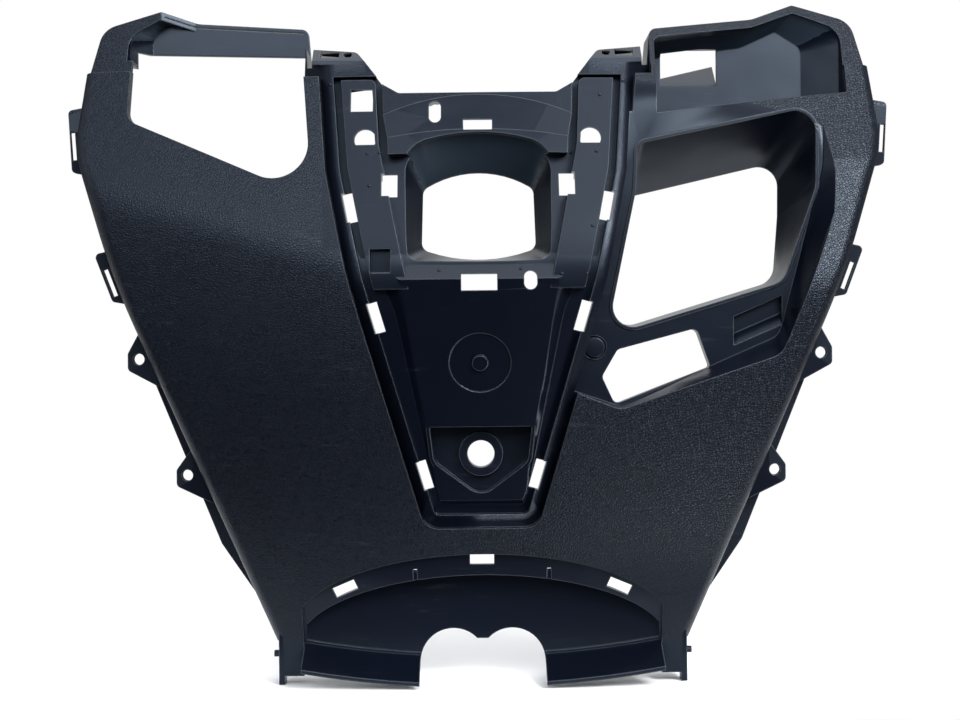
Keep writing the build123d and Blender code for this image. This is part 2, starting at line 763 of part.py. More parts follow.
# Feet, one step behind the wings, with hooks and side pins
foot_corners = [(arch_half_width, foot_bottom_z, 0), (foot_half, foot_bottom_z, 0),
                (foot_half, foot_top_z, 0), (arch_half_width, foot_top_z, 0)]
hook_half = foot_half - foot_hook_width
hook_corners = [(hook_half, foot_bottom_z - foot_hook, 0), (foot_half, foot_bottom_z - foot_hook, 0),
                (foot_half, foot_bottom_z + wall, 0), (hook_half, foot_bottom_z + wall, 0)]
foot_back_y = foot_front_y + foot_depth
foot_middle_y = foot_front_y + foot_depth / 2
foot_walls = []
foot_hollows = []
for side, corners, hook in ((1, foot_corners, hook_corners),
                            (-1, mirrored(foot_corners), mirrored(hook_corners))):
    pin_plane = Plane(origin=(side * foot_half, foot_middle_y, foot_pin_z), z_dir=(side, 0, 0))
    foot_walls.append(slab(outline(corners), foot_front_y, foot_back_y))
    foot_walls.append(slab(outline(hook), foot_front_y, foot_middle_y))
    foot_walls.append(drum(pin_plane, foot_pin_radius, -wall / 2, foot_pin_length))
    foot_hollows.append(slab(grown(outline(corners), -wall), foot_front_y + wall, foot_back_y + wall))

# Screw lugs along the outer edges
edge_walls = []
edge_holes = []
for hole_out, hole_z in [(upper_lug_out, upper_lug_z), (lower_lug_out, lower_lug_z)]:
    hole_half = edge_half(hole_z) + hole_out
    lug_y = wing_depth(edge_half(hole_z), hole_z) + lug_setback
    lug = [(edge_half(hole_z + lug_reach) - wall / 2, hole_z + lug_reach, 0),
           (hole_half + lug_radius, hole_z + lug_radius / 2, lug_radius / 2),
           (hole_half + lug_radius, hole_z - lug_radius, lug_radius / 2),
           (edge_half(hole_z - lug_reach) - wall / 2, hole_z - lug_reach, 0)]
    for side, corners in ((1, lug), (-1, mirrored(lug))):
        hole = disc(side * hole_half, hole_z, lug_hole_radius)
        edge_walls.append(slab(outline(corners), lug_y, lug_y + lug_thickness))
        edge_holes.append(slab(hole, lug_y - wall, lug_y + lug_thickness + wall))

# Flange along the lower outer edges
flange = [(edge_half(flange_top_z) - wall / 2, flange_top_z, 0),
          (edge_half(flange_shoulder_z) + flange_top_width, flange_shoulder_z, 0),
          (edge_half(flange_wide_z) + flange_width, flange_wide_z, 0),
          (edge_half(flange_bottom_z) - wall / 2, flange_bottom_z, 0)]
for corners in (flange, mirrored(flange)):
    edge_walls.append(prism(outline(corners)) & layer(skirt_depth - wall, skirt_depth))


def outer_half(z):
    """Half width of the wing outline at a height, round its knee"""
    knee = Vector(wing_knee_half, 0, wing_knee_z)
    down = (Vector(wing_foot_half, 0, wing_foot_z) - knee).normalized()
    up = (Vector(wing_top_half, 0, wing_top_z) - knee).normalized()
    half_angle = math.radians(down.get_angle(up) / 2)
    centre = knee + (down + up).normalized() * (wing_knee_radius / math.sin(half_angle))
    run = wing_knee_radius / math.tan(half_angle)
    if z < wing_knee_z + down.Z * run:
        return edge_half(z)
    if z > wing_knee_z + up.Z * run:
        share = (wing_top_z - z) / (wing_top_z - wing_knee_z)
        return wing_top_half + (wing_knee_half - wing_top_half) * share
    return centre.X + math.sqrt(wing_knee_radius ** 2 - (z - centre.Z) ** 2)


# Loop tabs on the outer edges
upper_loop = (upper_loop_z, upper_loop_length, upper_loop_reach)
lower_loop = (lower_loop_z, lower_loop_length, lower_loop_reach)
for loop_z, loop_length, loop_reach in (upper_loop, lower_loop):
    top = loop_z + loop_length / 2
    low = loop_z - loop_length / 2
    loop_y = wing_depth(outer_half(loop_z), loop_z) + lug_setback
    loop = [(outer_half(top) - 3 * wall, top, 0),
            (outer_half(top - loop_bar) + loop_reach, top - loop_bar, loop_bar),
            (outer_half(low + loop_bar) + loop_reach, low + loop_bar, loop_bar),
            (outer_half(low) - 3 * wall, low, 0)]
    lean = math.degrees(math.atan2(outer_half(top) - outer_half(low), top - low))
    slot_half = outer_half(loop_z) + loop_reach - loop_bar - loop_slot_width / 2
    for side, corners in ((1, loop), (-1, mirrored(loop))):
        slot = bar(side * slot_half, loop_z - loop_bar, loop_slot_width, loop_slot_length, -side * lean)
        edge_walls.append(slab(outline(corners), loop_y, loop_y + loop_thickness))
        edge_holes.append(slab(slot, loop_y - wall, loop_y + loop_thickness + wall))

# Slanted tower tops
slant_z = tower_top_z - tower_slant
slant_y = wing_depth(tower_inner_half, slant_z) + ledge_depth
slant_clear = 2 * tower_slant
tower_cuts = []
tower_tops = []
for x_from, x_to in [(-tower_half - wall, -tower_foot_half), (tower_foot_half, tower_half + wall)]:
    cut = along_x([(slant_y, slant_z), (slant_y + slant_clear, slant_z + slant_clear),
                   (-far, slant_z + slant_clear), (-far, slant_z)], x_from, x_to)
    top = along_x([(slant_y, slant_z), (slant_y + tower_slant, slant_z + tower_slant),
                   (slant_y + tower_slant + wall, slant_z + tower_slant), (slant_y + wall, slant_z - wall),
                   (slant_y, slant_z - wall)], x_from, x_to)
    tower_cuts.append(cut & prism(tower_outline))
    tower_tops.append(top & prism(tower_outline))

# Rails inside the channel
rail_corners = [(seat_clear, rail_top_z, 0), (rail_top_half, rail_top_z, rail_corner_radius),
                (rail_waist_half, rail_waist_z, seat_waist_radius / 2), (rail_foot_half, rail_foot_z, 0),
                (seat_clear, rail_foot_z, 0)]
rail_skin = prism(grown(seat_outline, -rail_inset)) & layer(rail_depth, channel_depth + wall / 2)
rail_room = prism(grown(seat_outline, -rail_inset - wall))
rail_room = rail_room & layer(rail_depth + wall, channel_depth + 2 * wall)
rail_walls = []
rail_hollows = []
for corners in (rail_corners, mirrored(rail_corners)):
    rail_walls.append(prism(outline(corners)) & rail_skin)
    rail_hollows.append(prism(grown(outline(corners), -wall)) & rail_room)

# Cross band between the rails
cross_band = arched(band_half, band_top_end_z, band_top_z,
                    band_bottom_half, band_bottom_end_z, band_bottom_z)
band_skin = prism(cross_band) & layer(band_depth, channel_depth + wall / 2)
band_hollow = prism(grown(cross_band, -wall)) & layer(band_depth + wall, channel_depth + 2 * wall)

# Raised centre panel with sloped sides
panel_top_y = wing_depth(0, panel_top_z) + panel_top_depth
panel_bottom_y = wing_depth(0, panel_bottom_z) + panel_bottom_depth
panel_base_z = panel_top_z + panel_shelf_rise
panel_base_y = wing_depth(0, panel_base_z) + channel_depth + wall / 2
panel_base_half = seat_half(panel_base_z) - rail_inset
panel_foot_y = wing_depth(0, panel_bottom_z) + channel_depth + wall / 2
panel_foot_half = seat_half(panel_bottom_z) - rail_inset
panel_lid = trapezoid(panel_top_z, panel_top_half, panel_top_y,
                      panel_bottom_z, panel_bottom_half, panel_bottom_y)
panel_base = trapezoid(panel_base_z, panel_base_half, panel_base_y,
                       panel_bottom_z - wall, panel_foot_half, panel_foot_y)
panel_walls = loft([panel_base, panel_lid], ruled=True)
hollow_lid = trapezoid(panel_top_z - wall, panel_top_half - wall, panel_top_y + wall,
                       panel_bottom_z + wall, panel_bottom_half - wall, panel_bottom_y + wall)
hollow_base = trapezoid(panel_base_z - wall, panel_base_half - wall, panel_base_y + wall,
                        panel_bottom_z + wall, panel_foot_half - wall, panel_foot_y + 2 * wall)
panel_hollow = loft([hollow_base, hollow_lid], ruled=True)

# Round gate mark on the panel, sunk a little, with a small boss in it
panel_fall = (panel_bottom_y - panel_top_y) / (panel_top_z - panel_bottom_z)
gate_y = panel_top_y + (panel_top_z - gate_z) * panel_fall
gate_plane = Plane(origin=(0, gate_y, gate_z), x_dir=(1, 0, 0), z_dir=(0, -1, -panel_fall))
gate_room = drum(gate_plane, gate_radius, -gate_sink, wall)
gate_boss = drum(gate_plane, gate_boss_radius, -wall / 2, gate_boss_rise)


def d_face(half, spring_z, top_z, bottom_half, bottom_z, sag, top_y, bottom_y, corner, foot):
    """D-shaped face that may lean, with rounded corners and a slightly bowed bottom"""
    def point(x, z):
        return (x, bottom_y + (top_y - bottom_y) * (z - bottom_z) / (top_z - bottom_z), z)
    upper = Edge.make_three_point_arc(point(-half, spring_z), point(0, top_z), point(half, spring_z))
    right = Edge.make_line(point(half, spring_z), point(bottom_half, bottom_z))
    lower = Edge.make_three_point_arc(point(bottom_half, bottom_z), point(0, bottom_z - sag),
                                      point(-bottom_half, bottom_z))
    left = Edge.make_line(point(-bottom_half, bottom_z), point(-half, spring_z))
    face = Face(Wire([upper, right, lower, left]))
    face = face.fillet_2d(corner, face.vertices().sort_by(Axis.Z)[-2:])
    return face.fillet_2d(foot, face.vertices().sort_by(Axis.Z)[:2])


# D-shaped window: a funnel behind the channel floor, with a hood over it that meets the cross band
d_top_y = wing_depth(0, d_top_z) + channel_depth
d_bottom_y = wing_depth(0, d_bottom_z) + channel_depth
d_bottom_half = d_half - wall
d_sag = wall / 4
d_mouth = d_face(d_half, d_spring_z, d_top_z, d_bottom_half, d_bottom_z, d_sag,
                 d_top_y - wall, d_bottom_y - wall, d_corner_radius, d_foot_radius)
d_end = d_face(d_back_half, d_back_spring_z, d_back_top_z, d_back_half + wall / 2, d_back_bottom_z,
               d_back_sag, d_back_y, d_back_y, d_back_radius, d_back_radius)
d_outer = d_face(d_half + wall, d_spring_z, d_top_z + wall, d_bottom_half + wall, d_bottom_z - wall, d_sag,
                 d_top_y + wall / 4, d_bottom_y + wall / 4, d_corner_radius + wall, d_foot_radius + wall)
d_outer_end = d_face(d_back_half + wall, d_back_spring_z, d_back_top_z + wall, d_back_half + 1.5 * wall,
                     d_back_bottom_z - wall, d_back_sag, d_back_y, d_back_y,
                     d_back_radius + wall, d_back_radius + wall)
d_walls = loft([d_outer, d_outer_end], ruled=True)
d_front = d_face(d_half, d_spring_z, d_top_z, d_bottom_half, d_bottom_z, d_sag, 0, 0,
                 d_corner_radius, d_foot_radius)
d_room = loft([d_mouth, d_end], ruled=True) + extrude(d_end, amount=wall, dir=(0, 1, 0))
d_room += extrude(d_mouth, amount=far, dir=(0, -1, 0))
hood_outline = arched(band_bottom_half, band_bottom_end_z + wall / 4, band_bottom_z + wall / 4,
                      hood_half, hood_low_z, hood_low_z + wall / 4)
hood = prism(hood_outline) & layer(hood_depth, channel_depth + wall / 2)
hood_hollow = prism(grown(hood_outline, -wall)) - prism(grown(d_front, wall))
hood_hollow = hood_hollow & layer(hood_depth + wall, channel_depth + 2 * wall)

# Lock recess with a bored collar
lock_side = [(lock_half, lock_top_z, wall / 2), (lock_side_half, lock_side_z, lock_side_radius)]
lock_outline = outline(lock_side + [(0, lock_bottom_z, lock_bottom_radius)] + mirrored(lock_side)[::-1])
below_z = panel_bottom_z - far
behind_panel = along_x([(panel_top_y, panel_top_z), (panel_bottom_y + panel_fall * far, below_z),
                        (far, below_z), (far, panel_top_z)], -seat_clear, seat_clear)
lock_walls = slab(grown(lock_outline, wall), -far, lock_floor_y + wall) & behind_panel
lock_room = slab(lock_outline, -far, lock_floor_y)
lock_collar = slab(disc(0, 0, lock_collar_radius), 0, lock_bore_length)
lock_bore = slab(disc(0, 0, lock_bore_radius), -wall, lock_bore_length + wall)


def through(face, x, z, back):
    """Cut with that outline from just before the front surface to a depth behind it"""
    y = wing_depth(x, z)
    return slab(face, y - wall, y + back)


# Slots and openings through the skin
floor_cut = channel_depth + 4 * wall
rail_cut = rail_depth + 2 * wall
band_cut = arch_step + 3 * wall
arch_middle_z = arch_top_z - arch_rise
arch_slot_rise = arch_half_height(arch_slot_half, arch_span, arch_rise)
arch_slot_z = arch_middle_z + arch_slot_rise - arch_band / 2
arch_slot_lean = math.degrees(math.atan(arch_rise ** 2 * arch_slot_half / (arch_span ** 2 * arch_slot_rise)))
tower_slot_z = tower_top_z - tower_slant / 2
tower_slot_half = tower_inner_half + tower_slot_length
tower_back_y = slant_y + tower_slant + 2 * wall
openings = []
for side in (-1, 1):
    for z in (upper_clip_z, middle_clip_z, lower_clip_z):
        x = side * (seat_half(z) - clip_inset)
        clip_slot = bar(x, z, clip_slot_width, clip_slot_length, -side * seat_lean(z))
        openings.append(through(clip_slot, x, z, floor_cut))
    side_slot = bar(side * side_slot_half, side_slot_z, side_slot_width, side_slot_height)
    openings.append(through(side_slot, side_slot_half, side_slot_z, floor_cut))
    half_moon = disc(side * half_moon_half, half_moon_z, half_moon_radius)
    half_moon_low = bar(side * half_moon_half, half_moon_z - half_moon_radius,
                        3 * half_moon_radius, half_moon_radius)
    openings.append(through(half_moon, half_moon_half, half_moon_z, rail_cut) - prism(half_moon_low))
    tower_slot = pill(side * tower_slot_half, tower_slot_z, tower_slot_length, tower_slot_width)
    openings.append(slab(tower_slot, slant_y - wall, tower_back_y))
    tower_tray = bar(side * tower_tray_half, tower_slot_z, tower_tray_width, tower_tray_height)
    openings.append(slab(tower_tray, slant_y - wall, tower_back_y))
    arch_slot = bar(side * arch_slot_half, arch_slot_z, arch_slot_length, arch_slot_width,
                    -side * arch_slot_lean)
    openings.append(through(arch_slot, arch_slot_half, arch_slot_z, band_cut))
    slit = bar(side * slit_half, slit_z, slit_width, slit_height)
    openings.append(through(slit, slit_half, slit_z, arch_step + slit_sink))
middle_slot_z = arch_top_z - arch_slot_width / 2
middle_slot = bar(0, middle_slot_z, arch_slot_length, arch_slot_width)
openings.append(through(middle_slot, 0, middle_slot_z, band_cut))
band_pill = pill(band_pill_x, band_pill_z, band_pill_width, band_pill_length)
openings.append(through(band_pill, band_pill_x, band_pill_z, floor_cut))
band_slot = bar(0, band_slot_z, band_slot_width, band_slot_height)
openings.append(through(band_slot, 0, band_slot_z, floor_cut))
panel_slot = bar(0, panel_slot_z, panel_slot_width, panel_slot_height)
openings.append(through(panel_slot, 0, panel_slot_z, floor_cut))
panel_pill = pill(panel_pill_x, panel_pill_z, panel_pill_width, panel_pill_height)
openings.append(through(panel_pill, panel_pill_x, panel_pill_z, floor_cut))
upper_window = bar(-upper_rail_window_half, upper_rail_window_z, rail_window_width, rail_window_height)
openings.append(through(upper_window, upper_rail_window_half, upper_rail_window_z, rail_cut))
lower_window = bar(-lower_rail_window_half, lower_rail_window_z, lower_rail_window_width, rail_window_height)
tray_cut = rail_depth + rail_tray_depth
openings.append(through(lower_window, lower_rail_window_half, lower_rail_window_z, tray_cut))
rail_tray_y = wing_depth(lower_rail_window_half, lower_rail_window_z) + rail_depth + wall / 2
rail_tray = slab(grown(lower_window, wall), rail_tray_y, rail_tray_y + rail_tray_depth + wall / 2)
rail_tray = rail_tray & prism(grown(seat_outline, -rail_inset - wall / 2))

# The whole moulding: blocks and hollows, then the walls and rooms of the recesses, then what stands in them
body = wing_block + [shoulder_block, tower_block]
body = body - [wing_hollow, shoulder_hollow, tower_hollow]
body = body + [seat_walls, channel_walls, window_walls, pocket_walls, plate_walls, band_walls, arch_walls]
body = body + [tunnel_walls, hatch_walls, tray_walls, d_walls] + foot_walls + edge_walls
body = body - [seat_room, channel_room, plate_room, right_room, left_room, roof_cut, window_room]
body = body - [band_room, arch_room, tunnel_room, hatch_room, tray_room, back_slot]
body = body - foot_hollows - edge_holes - tower_cuts
body = body + rail_walls + [band_skin, hood, panel_walls, shelf, back_ramp, tunnel_rim] + tower_tops
body = body - rail_hollows - [cross_hollow, band_hollow, hood_hollow, panel_hollow]
body = body - [d_room, notch, gate_room]
body = body + [lock_walls, gate_boss, rail_tray]
body = body - lock_room
body = body + lock_collar
body = body - [lock_bore] - openings

os.makedirs("parts", exist_ok=True)
export_step(body, "parts/leg_shield.step")
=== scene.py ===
import math

import bmesh
import bpy
from mathutils import Matrix, Vector
from mathutils.bvhtree import BVHTree


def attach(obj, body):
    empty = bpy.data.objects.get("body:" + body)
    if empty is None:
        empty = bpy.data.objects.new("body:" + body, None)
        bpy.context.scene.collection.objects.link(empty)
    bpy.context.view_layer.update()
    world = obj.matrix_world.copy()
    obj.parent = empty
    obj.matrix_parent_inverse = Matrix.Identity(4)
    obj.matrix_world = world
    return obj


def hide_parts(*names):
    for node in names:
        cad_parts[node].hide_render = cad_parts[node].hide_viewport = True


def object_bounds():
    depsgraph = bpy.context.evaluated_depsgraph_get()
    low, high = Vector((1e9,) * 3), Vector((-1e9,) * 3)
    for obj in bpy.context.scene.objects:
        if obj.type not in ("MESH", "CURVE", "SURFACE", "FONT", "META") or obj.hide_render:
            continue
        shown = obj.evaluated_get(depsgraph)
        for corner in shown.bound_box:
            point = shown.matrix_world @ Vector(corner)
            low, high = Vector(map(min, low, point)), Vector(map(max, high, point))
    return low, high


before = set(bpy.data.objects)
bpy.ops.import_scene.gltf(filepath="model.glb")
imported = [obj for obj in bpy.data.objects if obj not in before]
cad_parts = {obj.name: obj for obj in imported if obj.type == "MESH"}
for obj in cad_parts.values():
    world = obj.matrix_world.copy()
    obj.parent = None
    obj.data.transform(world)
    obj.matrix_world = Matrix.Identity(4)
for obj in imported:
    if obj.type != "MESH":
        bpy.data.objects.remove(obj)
cad_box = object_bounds()

MM = 0.001

# Front surface of the wings, as in the part's source
CREASE_Y = -49.0 * MM
CREASE_Z = 115.0 * MM
CREASE_RADIUS = 120.0 * MM
SLOPE = math.radians(17.0)
BOW_RADIUS = 2200.0 * MM
LEDGE_DEPTH = 6.0 * MM
SHOULDER_STEP = 3.0 * MM
SURFACE_TOLERANCE = 0.25 * MM

# The crease as the light shows it: on the left it climbs outward, and below it the lean grows slowly
CREASE_MIDDLE_Z = 99.0 * MM
CREASE_CLIMB = 0.29
CREASE_RIGHT_Z = 108.0 * MM
CREASE_HALF_RUN = 17.0 * MM
LEAN_BELOW = math.radians(-7.0)
LEAN_FOOT = math.radians(-14.0)
LEAN_RUN = 210.0 * MM
LEAN_TOP_RIGHT = math.radians(29.0)
TOP_RIGHT_Z = 184.0 * MM

# The ledge round the centre: height and half width of the corners of its outer edge, the cove along it,
# and how far its normals turn in the cove and beside the panel
LEDGE_CORNERS = ((-47.5 * MM, 36.3 * MM), (109.0 * MM, 80.1 * MM),
                 (178.0 * MM, 94.6 * MM), (241.0 * MM, 100.2 * MM))
LEDGE_WIDTH = 8.5 * MM
COVE_TURN = math.radians(60.0)
LEDGE_TURN = math.radians(17.0)

# Outer edge of the wings, as height and half width of its corners, and the roll along it
EDGE_CORNERS = ((-124.5 * MM, 137.0 * MM), (195.0 * MM, 257.5 * MM), (248.0 * MM, 253.5 * MM))
ROLL_REACH = 13.0 * MM
ROLL_DEPTH = 11.0 * MM

# Flat front of the raised centre panel: height and half width of its ends, and its lean
PANEL_CORNERS = ((-30.0 * MM, 26.5 * MM), (110.0 * MM, 48.5 * MM))
PANEL_LEAN = math.radians(-17.9)
PANEL_TOLERANCE = 1.0 * MM

# Where faces with their own finish, painted light or normals lie: half widths, heights and the depth of the
# ceiling
CEILING_HALF = 46.0 * MM
CEILING_Z = (170.0 * MM, 204.0 * MM)
CEILING_Y = (-20.0 * MM, 5.0 * MM)
ROOF_HALF = 108.0 * MM
ROOF_Z = 255.0 * MM
RAIL_HALF = (43.0 * MM, 95.0 * MM)
RAIL_Z = 104.0 * MM
SIDE_HALF = (24.0 * MM, 70.0 * MM)
SIDE_Z = (-30.0 * MM, 112.0 * MM)

# Limits of the normals of such faces, whose Y is below 0 toward the front and Z above 0 upward
WING_LOOK_Y = -0.5
ROLL_LOOK_Y = 0.3
CEILING_LOOK_Y = 0.1
CEILING_LOOK_Z = -0.35
RAIL_LOOK_Y = -0.9
RAIL_LOOK_Z = 0.1
SIDE_LOOK_X = (0.3, 0.95)
SIDE_LOOK_Y = -0.3

# Shares from 0 to 1: grain on the ledge, kept low also to darken it as painted shade, and how dull the rails
# are
LEDGE_GRAIN_AND_PAINTED_SHADE = 0.4
RAIL_DULL = 0.7

# Camera of the photograph, a 960 by 720 picture; its sensor and lens in millimetres
CAMERA_PLACE = Vector((0.0, -0.849, 0.0603))
CAMERA_ROLL = math.radians(-0.6)
SENSOR_WIDTH = 36.0
FOCAL_LENGTH = 49.5

# Floor under the feet, metres
FLOOR_FRONT = -0.072
FLOOR_BACK = 2.2
FLOOR_HALF = 2.5
FLOOR_GAP = 0.0005
FLOOR_FADE = (0.30, 0.70)
FLOOR_COLOUR = (0.92, 0.92, 0.92, 1.0)
FLOOR_ROUGHNESS = 0.9

# Mesh: the angle from which an edge is sharp, the reach of a weld and the spacing of cuts in the wings
SHARP_ANGLE = math.radians(24.0)
WELD_DISTANCE = 1.0e-6
CUT_STEP = 12.0 * MM


def wing_surface(x, z, depth):
    """Y and slope of the surface that lies some depth behind the wings' front"""
    rise = z - CREASE_Z
    bow = BOW_RADIUS - depth
    chord = math.sqrt(bow * bow - x * x)
    turn = CREASE_RADIUS - depth - bow + chord
    run = turn * math.sin(SLOPE)
    if abs(rise) < run:
        out = math.sqrt(turn * turn - rise * rise)
        return CREASE_Y + CREASE_RADIUS - out, math.asin(rise / turn)
    lean = SLOPE if rise > 0 else -SLOPE
    y = CREASE_Y + CREASE_RADIUS - turn * math.cos(SLOPE) + math.tan(SLOPE) * (abs(rise) - run)
    return y, lean


def wing_normal(x, lean):
    """Outward normal of the wings' front for a lean from upright"""
    side = math.asin(x / BOW_RADIUS)
    return Vector((math.sin(side), -math.cos(side) * math.cos(lean), math.cos(side) * math.sin(lean)))


def shown_lean(x, z):
    """Lean of the wings as the light shows it, across the crease and down to the foot"""
    crease = CREASE_RIGHT_Z if x > 0.0 else CREASE_MIDDLE_Z - CREASE_CLIMB * x
    below = crease - CREASE_HALF_RUN - z
    if below > 0.0:
        share = min(1.0, below / LEAN_RUN)
        return LEAN_BELOW + (LEAN_FOOT - LEAN_BELOW) * share * (2.0 - share)
    share = min(1.0, -below / (2.0 * CREASE_HALF_RUN))
    above = LEAN_TOP_RIGHT if x > 0.0 and z > TOP_RIGHT_Z else SLOPE
    return LEAN_BELOW + (above - LEAN_BELOW) * share * share * (3.0 - 2.0 * share)


def lies_on(point, depth):
    """True where a point is on the surface some depth behind the wings' front"""
    return abs(point.y - wing_surface(point.x, point.z, depth)[0]) < SURFACE_TOLERANCE


def on_wing(points, normal, depth):
    """True for a face that lies on that surface and looks to the front"""
    return normal.y < WING_LOOK_Y and all(lies_on(p, depth) for p in points)


def half_at(corners, z):
    """Half width at a height of an edge given by its corners"""
    place = sum(1 for corner in corners[1:-1] if z > corner[0])
    first, last = corners[place], corners[place + 1]
    share = (z - first[0]) / (last[0] - first[0])
    return first[1] + (last[1] - first[1]) * share


def on_roll(point):
    """True where a point is on the rolled outer edge of a wing"""
    depth = point.y - wing_surface(point.x, point.z, 0.0)[0]
    near = abs(point.x) > half_at(EDGE_CORNERS, point.z) - ROLL_REACH
    return near and -SURFACE_TOLERANCE < depth < ROLL_DEPTH and point.z < EDGE_CORNERS[-1][0]


def looks_down(face):
    """True for a sloped ceiling, which gets painted bounce light: the top of the D window and the undersides
    of the roofs
    """
    x, y, z = face.center
    ceiling_painted_light = abs(x) < CEILING_HALF and CEILING_Z[0] < z < CEILING_Z[1] and CEILING_Y[0] < y < CEILING_Y[1]
    roof = abs(x) > ROOF_HALF and z > ROOF_Z
    return face.normal.z < CEILING_LOOK_Z and face.normal.y < CEILING_LOOK_Y and (ceiling_painted_light or roof)


def on_tab(point):
    """True where a point is on the flange, lugs or loops beside a wing, or on the skirt behind its roll"""
    depth = point.y - wing_surface(point.x, point.z, 0.0)[0]
    near = abs(point.x) > half_at(EDGE_CORNERS, point.z) - ROLL_REACH
    return near and depth >= ROLL_DEPTH - SURFACE_TOLERANCE


def on_rail(face):
    """True for the front of the two rails beside the D window"""
    x, _, z = face.center
    beside = RAIL_HALF[0] < abs(x) < RAIL_HALF[1] and z > RAIL_Z
    return beside and face.normal.y < RAIL_LOOK_Y and face.normal.z > RAIL_LOOK_Z


def panel_side(face):
    """True for the sloped sides of the raised centre panel"""
    x, _, z = face.center
    beside = SIDE_HALF[0] < abs(x) < SIDE_HALF[1] and SIDE_Z[0] < z < SIDE_Z[1]
    outward = face.normal.x * x > 0.0 and SIDE_LOOK_X[0] < abs(face.normal.x) < SIDE_LOOK_X[1]
    return beside and outward and face.normal.y < SIDE_LOOK_Y


def ledge_turn(point):
    """Turn of the ledge's normals about the vertical: a cove by the wing, facing outward beside the panel"""
    inset = half_at(LEDGE_CORNERS, point.z) - abs(point.x)
    foot = point.z <= LEDGE_CORNERS[0][0] + LEDGE_WIDTH
    cove = 0.0 if foot else max(0.0, min(1.0, 1.0 - inset / LEDGE_WIDTH))
    rest = LEDGE_TURN if point.z < PANEL_CORNERS[1][0] else 0.0
    return math.copysign(1.0, point.x) * (rest + (COVE_TURN - rest) * cove)


def cut_wings(work):
    """Fine even cuts across the wings' front, each new point set on the true surface"""
    faces = [f for f in work.faces if on_wing([v.co for v in f.verts], f.normal, 0.0)]
    edges = {e for f in faces for e in f.edges}
    points = {v for f in faces for v in f.verts}
    known = set(work.verts)
    geometry = faces + list(edges) + list(points)
    for axis in (0, 2):
        low = cad_box[0][axis]
        for step in range(1, math.ceil((cad_box[1][axis] - low) / CUT_STEP)):
            place = [0.0, 0.0, 0.0]
            turn = [0.0, 0.0, 0.0]
            place[axis] = low + step * CUT_STEP
            turn[axis] = 1.0
            cut = bmesh.ops.bisect_plane(work, geom=geometry, plane_co=place, plane_no=turn,
                                         dist=WELD_DISTANCE)
            geometry = cut["geom"]
    for point in work.verts:
        inside = all(on_wing([v.co for v in f.verts], f.normal, 0.0) for f in point.link_faces)
        if point not in known and inside:
            point.co.y = wing_surface(point.co.x, point.co.z, 0.0)[0]
    bmesh.ops.triangulate(work, faces=[f for f in work.faces if len(f.verts) > 3])


def added(name, data):
    """Object at the origin that shows a mesh, lamp or camera"""
    thing = bpy.data.objects.new(name, data)
    bpy.context.scene.collection.objects.link(thing)
    return thing


def grain_share(face, points, rolled):
    """Leather grain of a face: full on the wings, their rolls and the shoulders, less on the ledge, which
    also darkens it as painted shade
    """
    shoulder = 1.0 if face.center.z > 0.0 else 0.0
    share = 0.0
    for depth, amount in ((0.0, 1.0), (SHOULDER_STEP, shoulder), (LEDGE_DEPTH, LEDGE_GRAIN_AND_PAINTED_SHADE)):
        if on_wing(points, face.normal, depth):
            share = amount
    return 1.0 if rolled else share


def dull_share(face, points, ledge):
    """Dullness of a face: full on the tabs, less on the rails"""
    if on_rail(face) and not ledge:
        return RAIL_DULL
    return 1.0 if all(on_tab(p) for p in points) else 0.0


def shown_normal(face, point, normal, rolled, ledge):
    """Normal that a face shows at one of its points"""
    true_lean = wing_surface(point.x, point.z, 0.0)[1]
    lean = shown_lean(point.x, point.z)
    front = wing_normal(point.x, true_lean).angle(face.normal) < SHARP_ANGLE
    if front and (lies_on(point, 0.0) or lies_on(point, SHOULDER_STEP)):
        return wing_normal(point.x, lean)
    if rolled:
        return Matrix.Rotation(true_lean - lean, 3, "X") @ normal
    if panel_side(face) and abs(abs(point.x) - half_at(PANEL_CORNERS, point.z)) < PANEL_TOLERANCE:
        return Vector((0.0, -math.cos(PANEL_LEAN), math.sin(PANEL_LEAN)))
    if ledge:
        return Matrix.Rotation(ledge_turn(point), 3, "Z") @ normal
    return normal


def moulded_shell(node):
    """The CAD solid as one welded mesh, with its shown normals and masks for grain, painted light on
    ceilings, and dullness
    """
    mesh = node.data.copy()
    mesh.name = "moulded_shell"
    mesh.materials.clear()
    work = bmesh.new()
    work.from_mesh(mesh)
    bmesh.ops.remove_doubles(work, verts=work.verts, dist=WELD_DISTANCE)
    work.normal_update()
    cut_wings(work)
    work.to_mesh(mesh)
    work.free()
    for name in [a.name for a in mesh.attributes if a.name.startswith(("custom_normal", "sharp_"))]:
        mesh.attributes.remove(mesh.attributes[name])
    mesh.shade_smooth()
    mesh.set_sharp_from_angle(angle=SHARP_ANGLE)
    grain = mesh.attributes.new("grain", "FLOAT", "FACE")
    ceiling_painted_light = mesh.attributes.new("ceiling_painted_light", "FLOAT", "FACE")
    dull = mesh.attributes.new("dull", "FLOAT", "FACE")
    normals = [corner.vector.copy() for corner in mesh.corner_normals]
    for face in mesh.polygons:
        points = [mesh.vertices[i].co for i in face.vertices]
        rolled = face.normal.y < ROLL_LOOK_Y and all(on_roll(p) for p in points)
        ledge = on_wing(points, face.normal, LEDGE_DEPTH)
        grain.data[face.index].value = grain_share(face, points, rolled)
        # ceilings get a lighter colour as painted bounce light
        ceiling_painted_light.data[face.index].value = 1.0 if looks_down(face) else 0.0
        dull.data[face.index].value = dull_share(face, points, ledge)
        for loop, point in zip(face.loop_indices, points):
            normals[loop] = shown_normal(face, point, normals[loop], rolled, ledge)
    mesh.normals_split_custom_set([tuple(n) for n in normals])
    return added("moulded_shell", mesh)


